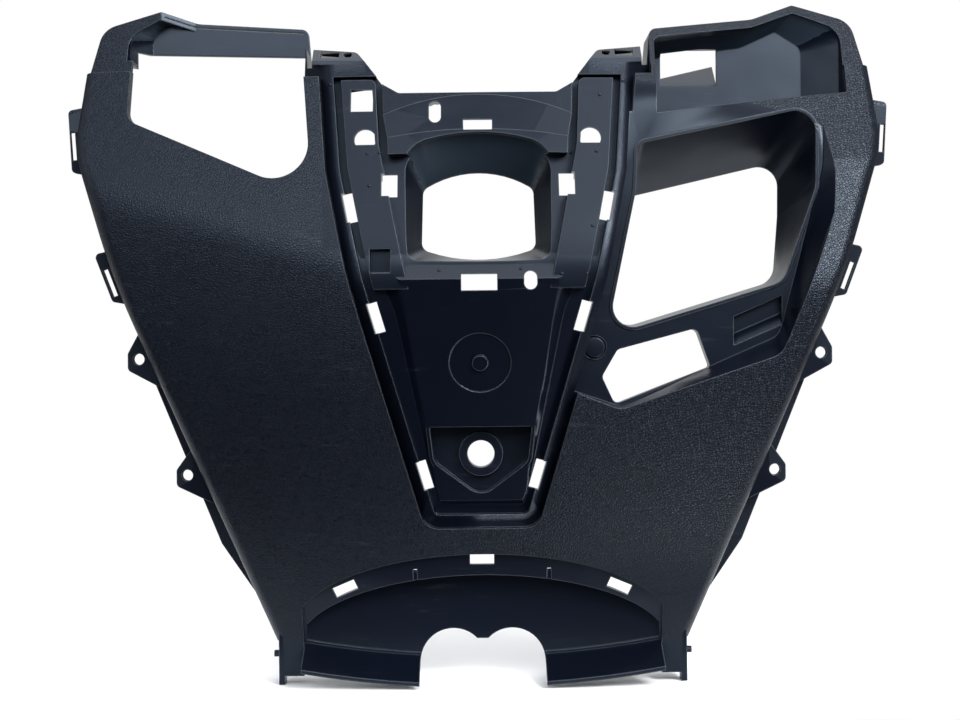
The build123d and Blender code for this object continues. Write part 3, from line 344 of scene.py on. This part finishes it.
def new_group(name, inputs, outputs):
    """Empty shader group with named inputs and outputs"""
    group = bpy.data.node_groups.new(name, "ShaderNodeTree")
    for title, kind, value in inputs:
        socket = group.interface.new_socket(title, in_out="INPUT", socket_type=kind)
        if value is not None:
            socket.default_value = value
    for title, kind in outputs:
        group.interface.new_socket(title, in_out="OUTPUT", socket_type=kind)
    return group, group.nodes.new("NodeGroupInput"), group.nodes.new("NodeGroupOutput")


def maths(tree, operation, a, b=None, clamp=False):
    """Math node of two values or sockets; gives its output"""
    node = tree.nodes.new("ShaderNodeMath")
    node.operation = operation
    node.use_clamp = clamp
    for index, value in enumerate((a, b)):
        if value is None:
            continue
        if isinstance(value, (int, float)):
            node.inputs[index].default_value = value
        else:
            tree.links.new(value, node.inputs[index])
    return node.outputs[0]


def mapped(tree, value, low, high, new_low, new_high):
    """Map Range node; gives its output"""
    node = tree.nodes.new("ShaderNodeMapRange")
    tree.links.new(value, node.inputs["Value"])
    for title, number in (("From Min", low), ("From Max", high), ("To Min", new_low), ("To Max", new_high)):
        node.inputs[title].default_value = number
    return node.outputs["Result"]


def vector_maths(tree, operation, first, second=None):
    """Vector Math node with its first and, if given, second vector linked; gives the node"""
    node = tree.nodes.new("ShaderNodeVectorMath")
    node.operation = operation
    tree.links.new(first, node.inputs[0])
    if second is not None:
        tree.links.new(second, node.inputs[1])
    return node


def face_mask(tree, name):
    """Value of a mask that the mesh keeps for each face"""
    node = tree.nodes.new("ShaderNodeAttribute")
    node.attribute_name = name
    return node.outputs["Fac"]


def noise(tree, place, scale, detail, roughness=0.5):
    """Noise texture; gives its value"""
    node = tree.nodes.new("ShaderNodeTexNoise")
    node.inputs["Scale"].default_value = scale
    node.inputs["Detail"].default_value = detail
    node.inputs["Roughness"].default_value = roughness
    tree.links.new(place, node.inputs["Vector"])
    return node.outputs["Fac"]


# Leather grain: cells per metre, how far they wander in metres, and widths as shares of a cell
GRAIN_CELLS = 640.0
GRAIN_WAVINESS = 0.0010
WAVES = 330.0
CREASE_WIDTH = (0.02, 0.22)
PEBBLE_WIDTH = 0.45
PEBBLE_ROUNDNESS = 0.6
FINE_GRAIN = 1900.0
FINE_SHARE = 0.15


def leather_grain_group():
    """Pebbled leather grain: rounded cells of uneven size with creases between them"""
    group, into, out = new_group(
        "leather_grain",
        [("Cells per Metre", "NodeSocketFloat", GRAIN_CELLS),
         ("Waviness", "NodeSocketFloat", GRAIN_WAVINESS)],
        [("Height", "NodeSocketFloat"), ("Crease", "NodeSocketFloat")])
    coordinates = group.nodes.new("ShaderNodeTexCoord")
    waves = group.nodes.new("ShaderNodeTexNoise")
    waves.inputs["Scale"].default_value = WAVES
    waves.inputs["Detail"].default_value = 2.0
    group.links.new(coordinates.outputs["Object"], waves.inputs["Vector"])
    centred = vector_maths(group, "SUBTRACT", waves.outputs["Color"])
    centred.inputs[1].default_value = (0.5, 0.5, 0.5)
    pushed = vector_maths(group, "SCALE", centred.outputs[0])
    group.links.new(into.outputs["Waviness"], pushed.inputs["Scale"])
    place = vector_maths(group, "ADD", coordinates.outputs["Object"], pushed.outputs[0]).outputs[0]
    cells = group.nodes.new("ShaderNodeTexVoronoi")
    cells.feature = "DISTANCE_TO_EDGE"
    group.links.new(place, cells.inputs["Vector"])
    group.links.new(into.outputs["Cells per Metre"], cells.inputs["Scale"])
    crease = mapped(group, cells.outputs["Distance"], *CREASE_WIDTH, 1.0, 0.0)
    pebble = mapped(group, cells.outputs["Distance"], 0.0, PEBBLE_WIDTH, 0.0, 1.0)
    pebble = maths(group, "POWER", pebble, PEBBLE_ROUNDNESS)
    fine = maths(group, "MULTIPLY", noise(group, place, FINE_GRAIN, detail=2.0), FINE_SHARE)
    group.links.new(maths(group, "ADD", pebble, fine), out.inputs["Height"])
    group.links.new(crease, out.inputs["Crease"])
    return group


# Marks of moulding and handling: noise scales per metre, the values picked from each noise, and amounts
TONE_SCALE = 11.0
TONE_PICK = (0.3, 0.7)
TONE_RANGE = (0.86, 1.14)
SCUFF_TURN = (0.2, 0.35, 0.15)
SCUFF_SCALE = (30.0, 30.0, 240.0)
SCUFF_PICK = (0.6, 0.78)
SCUFF_AMOUNT = 0.3
PATCH_SCALE = 23.0
PATCH_PICK = (0.45, 0.62)
SINK_SCALE = 34.0


def moulding_marks_group():
    """Broad unevenness of a moulded part: slow tone changes, scuffs in patches and soft sinks"""
    group, into, out = new_group(
        "moulding_marks",
        [("Scuff", "NodeSocketFloat", SCUFF_AMOUNT)],
        [("Tone", "NodeSocketFloat"), ("Wear", "NodeSocketFloat"), ("Sink", "NodeSocketFloat")])
    place = group.nodes.new("ShaderNodeTexCoord").outputs["Object"]
    tone = mapped(group, noise(group, place, TONE_SCALE, detail=3.0), *TONE_PICK, *TONE_RANGE)
    stretch = group.nodes.new("ShaderNodeMapping")
    stretch.inputs["Rotation"].default_value = SCUFF_TURN
    stretch.inputs["Scale"].default_value = SCUFF_SCALE
    group.links.new(place, stretch.inputs["Vector"])
    streaks = noise(group, stretch.outputs[0], scale=1.0, detail=4.0, roughness=0.65)
    scuffs = mapped(group, streaks, *SCUFF_PICK, 0.0, 1.0)
    patches = mapped(group, noise(group, place, PATCH_SCALE, detail=2.0), *PATCH_PICK, 0.0, 1.0)
    wear = maths(group, "MULTIPLY", scuffs, patches, clamp=True)
    wear = maths(group, "MULTIPLY", wear, into.outputs["Scuff"])
    group.links.new(noise(group, place, SINK_SCALE, detail=1.0), out.inputs["Sink"])
    group.links.new(tone, out.inputs["Tone"])
    group.links.new(wear, out.inputs["Wear"])
    return group


# Finish of the black plastic: colours, one of them painted bounce light for the ceilings, gloss, what scuffs
# add, and depths of grain and sinks
SMOOTH_COLOUR = (0.0018, 0.0028, 0.0066, 1.0)
GRAIN_COLOUR = (0.0044, 0.0055, 0.0102, 1.0)
CREASE_COLOUR = (0.0010, 0.0014, 0.0028, 1.0)
# the ceilings' colour is lighter as painted bounce light, not as a colour of the plastic
CEILING_PAINTED_LIGHT_COLOUR = (0.0150, 0.0220, 0.0320, 1.0)
SPECULAR_TINT = (0.68, 0.82, 1.0, 1.0)
SPECULAR_LEVEL = 0.29
SMOOTH_ROUGHNESS = 0.28
GRAIN_ROUGHNESS = 0.35
DULL_ROUGHNESS = 0.8
WEAR_SHARE = 0.4
WEAR_ROUGHNESS = 0.25
GRAIN_DEPTH = 0.155 * MM
SINK_DEPTH = 0.50 * MM

# Its paler edges, a painted highlight: rounding, agreement of the rounded normal with the true one, share on
# smooth and on grained faces, and how open the air has to be, so that only outer edges show
PAINTED_EDGE_HIGHLIGHT_COLOUR = (0.112, 0.124, 0.142, 1.0)
EDGE_RADIUS = 1.1 * MM
EDGE_TURN = (0.99, 0.80)
EDGE_SHARE = (0.7, 0.3)
EDGE_SAMPLES = 6
OPEN_AIR = (0.80, 0.98)
OPEN_AIR_REACH = 3.0 * EDGE_RADIUS


def mixed(tree, factor, first, second):
    """Colour mix of two colours or sockets; gives its output"""
    node = tree.nodes.new("ShaderNodeMix")
    node.data_type = "RGBA"
    tree.links.new(factor, node.inputs["Factor"])
    for title, value in (("A", first), ("B", second)):
        socket = [s for s in node.inputs if s.name == title and s.type == "RGBA"][0]
        if isinstance(value, tuple):
            socket.default_value = value
        else:
            tree.links.new(value, socket)
    return [s for s in node.outputs if s.type == "RGBA"][0]


def black_plastic():
    """Near-black plastic: leather grain by its mask, semi-gloss with sink marks elsewhere, painted light on
    ceilings and edges
    """
    material = bpy.data.materials.new("black_plastic")
    material.use_nodes = True
    tree = material.node_tree
    shader = tree.nodes["Principled BSDF"]
    mask = face_mask(tree, "grain")
    grain = tree.nodes.new("ShaderNodeGroup")
    grain.node_tree = leather_grain_group()
    marks = tree.nodes.new("ShaderNodeGroup")
    marks.node_tree = moulding_marks_group()
    rounded = tree.nodes.new("ShaderNodeBevel")
    rounded.samples = EDGE_SAMPLES
    rounded.inputs["Radius"].default_value = EDGE_RADIUS
    true_normal = tree.nodes.new("ShaderNodeNewGeometry")
    open_air = tree.nodes.new("ShaderNodeAmbientOcclusion")
    open_air.samples = EDGE_SAMPLES
    open_air.inputs["Distance"].default_value = OPEN_AIR_REACH

    grained = mixed(tree, grain.outputs["Crease"], GRAIN_COLOUR, CREASE_COLOUR)
    # the ceilings' lighter colour is painted bounce light
    smooth = mixed(tree, face_mask(tree, "ceiling_painted_light"), SMOOTH_COLOUR, CEILING_PAINTED_LIGHT_COLOUR)
    toned = vector_maths(tree, "SCALE", mixed(tree, mask, smooth, grained))
    tree.links.new(marks.outputs["Tone"], toned.inputs["Scale"])
    agreement = vector_maths(tree, "DOT_PRODUCT", rounded.outputs["Normal"], true_normal.outputs["Normal"])
    edge = mapped(tree, agreement.outputs["Value"], *EDGE_TURN, 0.0, 1.0)
    outer = mapped(tree, open_air.outputs["AO"], *OPEN_AIR, 0.0, 1.0)
    edge_share = maths(tree, "MULTIPLY", mapped(tree, mask, 0.0, 1.0, *EDGE_SHARE), outer)
    scuffed = maths(tree, "MULTIPLY", marks.outputs["Wear"], WEAR_SHARE)
    # the paler edges are a painted highlight; the scuffs mixed in with them are real wear
    wear_and_painted_highlight = maths(tree, "MAXIMUM", maths(tree, "MULTIPLY", edge, edge_share), scuffed)
    tree.links.new(mixed(tree, wear_and_painted_highlight, toned.outputs[0], PAINTED_EDGE_HIGHLIGHT_COLOUR), shader.inputs["Base Color"])

    rough = mapped(tree, mask, 0.0, 1.0, SMOOTH_ROUGHNESS, GRAIN_ROUGHNESS)
    dulled = maths(tree, "MULTIPLY", face_mask(tree, "dull"), DULL_ROUGHNESS)
    rough = maths(tree, "MAXIMUM", rough, dulled)
    scuffed = maths(tree, "MULTIPLY", marks.outputs["Wear"], WEAR_ROUGHNESS)
    tree.links.new(maths(tree, "ADD", rough, scuffed, clamp=True), shader.inputs["Roughness"])

    pebbles = maths(tree, "MULTIPLY", grain.outputs["Height"], mask)
    sink_share = mapped(tree, mask, 0.0, LEDGE_GRAIN_AND_PAINTED_SHADE, SINK_DEPTH / GRAIN_DEPTH, 0.0)
    sinks = maths(tree, "MULTIPLY", marks.outputs["Sink"], sink_share)
    bump = tree.nodes.new("ShaderNodeBump")
    bump.inputs["Strength"].default_value = 1.0
    bump.inputs["Distance"].default_value = GRAIN_DEPTH
    tree.links.new(maths(tree, "ADD", pebbles, sinks), bump.inputs["Height"])
    tree.links.new(rounded.outputs["Normal"], bump.inputs["Normal"])
    tree.links.new(bump.outputs["Normal"], shader.inputs["Normal"])
    shader.inputs["Specular IOR Level"].default_value = SPECULAR_LEVEL
    shader.inputs["Specular Tint"].default_value = SPECULAR_TINT
    return material


shell = moulded_shell(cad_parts["leg_shield"])
shell.data.materials.append(black_plastic())
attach(shell, "root")
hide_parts("leg_shield")


# Small moulding pips: places in the front view in millimetres, a dome's height as a share of its radius,
# and the Y before the part from which a pip's place is looked for
PIP_PLACES = ((-93.5, 236.5), (93.0, 237.0), (-67.5, 169.0), (77.5, 227.5), (70.0, 142.0), (58.5, 190.0),
              (74.0, 190.0), (-69.0, 190.0), (-61.5, 190.5), (-24.5, 115.5), (25.5, 116.0), (50.5, 112.5),
              (66.0, 112.5))
PIP_RADIUS = 1.1 * MM
PIP_HEIGHT = 0.6
PIP_SEGMENTS = 16
PIP_RINGS = 10
PIP_RAY_START = -1.0


def pip_tree(material):
    """Geometry tree that sets a low dome on each point, turned along the stored normal"""
    tree = bpy.data.node_groups.new("moulding_pips", "GeometryNodeTree")
    tree.interface.new_socket("Points", in_out="INPUT", socket_type="NodeSocketGeometry")
    radius = tree.interface.new_socket("Radius", in_out="INPUT", socket_type="NodeSocketFloat")
    radius.default_value = PIP_RADIUS
    tree.interface.new_socket("Pips", in_out="OUTPUT", socket_type="NodeSocketGeometry")
    into = tree.nodes.new("NodeGroupInput")
    out = tree.nodes.new("NodeGroupOutput")
    dome = tree.nodes.new("GeometryNodeMeshUVSphere")
    dome.inputs["Segments"].default_value = PIP_SEGMENTS
    dome.inputs["Rings"].default_value = PIP_RINGS
    tree.links.new(into.outputs["Radius"], dome.inputs["Radius"])
    facing = tree.nodes.new("GeometryNodeInputNamedAttribute")
    facing.data_type = "FLOAT_VECTOR"
    facing.inputs["Name"].default_value = "facing"
    turn = tree.nodes.new("FunctionNodeAlignRotationToVector")
    turn.axis = "Z"
    tree.links.new(facing.outputs["Attribute"], turn.inputs["Vector"])
    place = tree.nodes.new("GeometryNodeInstanceOnPoints")
    place.inputs["Scale"].default_value = (1.0, 1.0, PIP_HEIGHT)
    tree.links.new(into.outputs["Points"], place.inputs["Points"])
    tree.links.new(dome.outputs["Mesh"], place.inputs["Instance"])
    tree.links.new(turn.outputs["Rotation"], place.inputs["Rotation"])
    real = tree.nodes.new("GeometryNodeRealizeInstances")
    finish = tree.nodes.new("GeometryNodeSetMaterial")
    finish.inputs["Material"].default_value = material
    tree.links.new(place.outputs["Instances"], real.inputs["Geometry"])
    tree.links.new(real.outputs["Geometry"], finish.inputs["Geometry"])
    tree.links.new(finish.outputs["Geometry"], out.inputs["Pips"])
    return tree


def moulding_pips(shell, material):
    """Plain mesh of all pips, each set on the surface seen from the front"""
    mesh = shell.data
    surface = BVHTree.FromPolygons([v.co for v in mesh.vertices], [f.vertices for f in mesh.polygons])
    away = Vector((0.0, 1.0, 0.0))
    hits = [surface.ray_cast(Vector((x * MM, PIP_RAY_START, z * MM)), away) for x, z in PIP_PLACES]
    points = bpy.data.meshes.new("pip_points")
    points.from_pydata([hit[0] for hit in hits], [], [])
    facing = points.attributes.new("facing", "FLOAT_VECTOR", "POINT")
    for index, hit in enumerate(hits):
        facing.data[index].vector = hit[1]
    carrier = added("pip_points", points)
    modifier = carrier.modifiers.new("moulding_pips", "NODES")
    modifier.node_group = pip_tree(material)
    made = bpy.data.meshes.new_from_object(carrier.evaluated_get(bpy.context.evaluated_depsgraph_get()))
    bpy.data.objects.remove(carrier)
    made.shade_smooth()
    return added("moulding_pips", made)


pips = moulding_pips(shell, shell.data.materials[0])
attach(pips, "root")


# Round stop at the left end of the sunk plate: its foot's middle, each ring's radius and height in
# millimetres, and the bands of its groove, which are dull
STOP_PLACE = Vector((72.4, -15.0, 67.5)) * MM
STOP_PROFILE = ((7.9, -0.5), (7.9, 0.1), (7.6, 1.4), (7.4, 1.5), (7.3, 0.1),
                (6.4, 0.1), (6.4, 1.3), (6.1, 1.6), (5.7, 1.65))
STOP_SIDES = 48
STOP_DULL_BANDS = (3, 4, 5)


def round_stop(material):
    """Low round head with a dark groove and a thin rim round it, on the sunk plate"""
    work = bmesh.new()
    turns = [2.0 * math.pi * step / STOP_SIDES for step in range(STOP_SIDES)]
    rings = []
    for radius, height in STOP_PROFILE:
        spots = [Vector((radius * math.cos(t), -height, radius * math.sin(t))) * MM for t in turns]
        rings.append([work.verts.new(STOP_PLACE + spot) for spot in spots])
    for ring in (rings[0], rings[-1]):
        work.faces.new(ring)
    dull = work.faces.layers.float.new("dull")
    for place, (low, high) in enumerate(zip(rings, rings[1:])):
        for step in range(STOP_SIDES):
            face = work.faces.new((low[step], low[step - 1], high[step - 1], high[step]))
            face[dull] = 1.0 if place in STOP_DULL_BANDS else 0.0
    bmesh.ops.recalc_face_normals(work, faces=work.faces)
    mesh = bpy.data.meshes.new("round_stop")
    work.to_mesh(mesh)
    work.free()
    mesh.shade_smooth()
    mesh.set_sharp_from_angle(angle=SHARP_ANGLE)
    mesh.materials.append(material)
    return added("round_stop", mesh)


stop = round_stop(shell.data.materials[0])
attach(stop, "root")


def pale_floor():
    """White floor from just before the object to far behind it, pure white far off"""
    z = cad_box[0][2] - FLOOR_GAP
    mesh = bpy.data.meshes.new("floor")
    mesh.from_pydata([(-FLOOR_HALF, FLOOR_FRONT, z), (FLOOR_HALF, FLOOR_FRONT, z),
                      (FLOOR_HALF, FLOOR_BACK, z), (-FLOOR_HALF, FLOOR_BACK, z)], [], [(0, 1, 2, 3)])
    floor = added("floor", mesh)
    material = bpy.data.materials.new("floor_white")
    material.use_nodes = True
    tree = material.node_tree
    shader = tree.nodes["Principled BSDF"]
    shader.inputs["Base Color"].default_value = FLOOR_COLOUR
    shader.inputs["Roughness"].default_value = FLOOR_ROUGHNESS
    shader.inputs["Specular IOR Level"].default_value = 0.0
    white = tree.nodes.new("ShaderNodeEmission")
    coordinates = tree.nodes.new("ShaderNodeTexCoord")
    reach = vector_maths(tree, "LENGTH", coordinates.outputs["Object"])
    fade = mapped(tree, reach.outputs["Value"], *FLOOR_FADE, 0.0, 1.0)
    rays = tree.nodes.new("ShaderNodeLightPath")
    choice = tree.nodes.new("ShaderNodeMixShader")
    seen = maths(tree, "MAXIMUM", rays.outputs["Is Camera Ray"], rays.outputs["Is Transmission Ray"])
    seen = maths(tree, "MAXIMUM", seen, rays.outputs["Is Glossy Ray"])
    tree.links.new(maths(tree, "MULTIPLY", fade, seen), choice.inputs["Fac"])
    tree.links.new(shader.outputs[0], choice.inputs[1])
    tree.links.new(white.outputs[0], choice.inputs[2])
    tree.links.new(choice.outputs[0], tree.nodes["Material Output"].inputs["Surface"])
    mesh.materials.append(material)


def soft_light(name, place, aim, width, height, power, colour):
    """Rectangular soft box that looks at a point"""
    data = bpy.data.lights.new(name, "AREA")
    data.shape = "RECTANGLE"
    data.size = width
    data.size_y = height
    data.energy = power
    data.color = colour
    light = added(name, data)
    light.location = place
    light.rotation_euler = (Vector(aim) - Vector(place)).to_track_quat("-Z", "Y").to_euler()


# The dim room and the white backdrop: colours, and the parts of a direction over which they change
ROOM_LOW = (0.008, 0.010, 0.016, 1.0)
ROOM_HIGH = (0.40, 0.43, 0.50, 1.0)
ROOM_BEHIND = (0.10, 0.11, 0.12, 1.0)
ROOM_RISE = (-0.4, 0.7)
ROOM_TURN = (0.1, 0.6)
BACKDROP_COLOUR = (1.0, 1.0, 1.0, 1.0)
BACKDROP_REACH = (0.94, 0.97)


def studio_world():
    """White backdrop as the camera, mirrors and glass see it; a dim room, darker below, everywhere else"""
    world = bpy.data.worlds.new("studio")
    world.use_nodes = True
    bpy.context.scene.world = world
    tree = world.node_tree
    out = tree.nodes["World Output"]
    room = tree.nodes["Background"]
    white = tree.nodes.new("ShaderNodeBackground")
    white.inputs["Color"].default_value = BACKDROP_COLOUR
    coordinates = tree.nodes.new("ShaderNodeTexCoord")
    split = tree.nodes.new("ShaderNodeSeparateXYZ")
    tree.links.new(coordinates.outputs["Generated"], split.inputs[0])
    lift = mapped(tree, split.outputs["Z"], *ROOM_RISE, 0.0, 1.0)
    room_colour = mixed(tree, lift, ROOM_LOW, ROOM_HIGH)
    behind = mapped(tree, split.outputs["Y"], *ROOM_TURN, 0.0, 1.0)
    room_colour = mixed(tree, behind, room_colour, ROOM_BEHIND)
    tree.links.new(room_colour, room.inputs["Color"])
    rays = tree.nodes.new("ShaderNodeLightPath")
    choice = tree.nodes.new("ShaderNodeMixShader")
    shown = maths(tree, "MAXIMUM", rays.outputs["Is Camera Ray"], rays.outputs["Is Transmission Ray"])
    backdrop = mapped(tree, split.outputs["Y"], *BACKDROP_REACH, 0.0, 1.0)
    mirrored = maths(tree, "MULTIPLY", rays.outputs["Is Glossy Ray"], backdrop)
    tree.links.new(maths(tree, "MAXIMUM", shown, mirrored), choice.inputs["Fac"])
    tree.links.new(room.outputs[0], choice.inputs[1])
    tree.links.new(white.outputs[0], choice.inputs[2])
    tree.links.new(choice.outputs[0], out.inputs["Surface"])


# Soft lights: name, place and aim in metres, width, height, power in watts and colour
SOFT_LIGHTS = (
    ("front_box", (0.10, -1.6, 0.92), (0.0, 0.0, 0.15), 2.4, 0.94, 40.0, (0.95, 0.98, 1.0)),
    ("top_box", (0.0, 0.1, 1.7), (0.0, 0.1, 0.0), 1.8, 1.4, 20.0, (1.0, 0.99, 0.97)),
    ("right_box", (0.85, -0.94, 0.84), (0.2, 0.0, 0.16), 0.6, 0.45, 26.0, (1.0, 0.99, 0.97)),
    ("right_low", (0.57, -0.70, -0.82), (0.15, 0.0, -0.05), 0.35, 0.35, 5.0, (1.0, 0.97, 0.93)),
    ("back_box", (0.0, 1.3, 1.3), (0.0, 0.0, 0.1), 2.4, 0.6, 12.0, (1.0, 1.0, 1.0)),
    ("left_fill", (-1.4, -0.3, 0.5), (-0.1, 0.0, 0.1), 0.5, 0.9, 3.0, (1.0, 1.0, 1.0)),
)

pale_floor()
studio_world()
for soft in SOFT_LIGHTS:
    soft_light(*soft)

camera_data = bpy.data.cameras.new("photo_camera")
camera_data.sensor_width = SENSOR_WIDTH
camera_data.lens = FOCAL_LENGTH
camera = added("photo_camera", camera_data)
level = Matrix.Rotation(math.radians(90.0), 4, "X")
camera.matrix_world = Matrix.Translation(CAMERA_PLACE) @ level @ Matrix.Rotation(CAMERA_ROLL, 4, "Z")
bpy.context.scene.camera = camera
bpy.context.scene.view_settings.view_transform = "Standard"
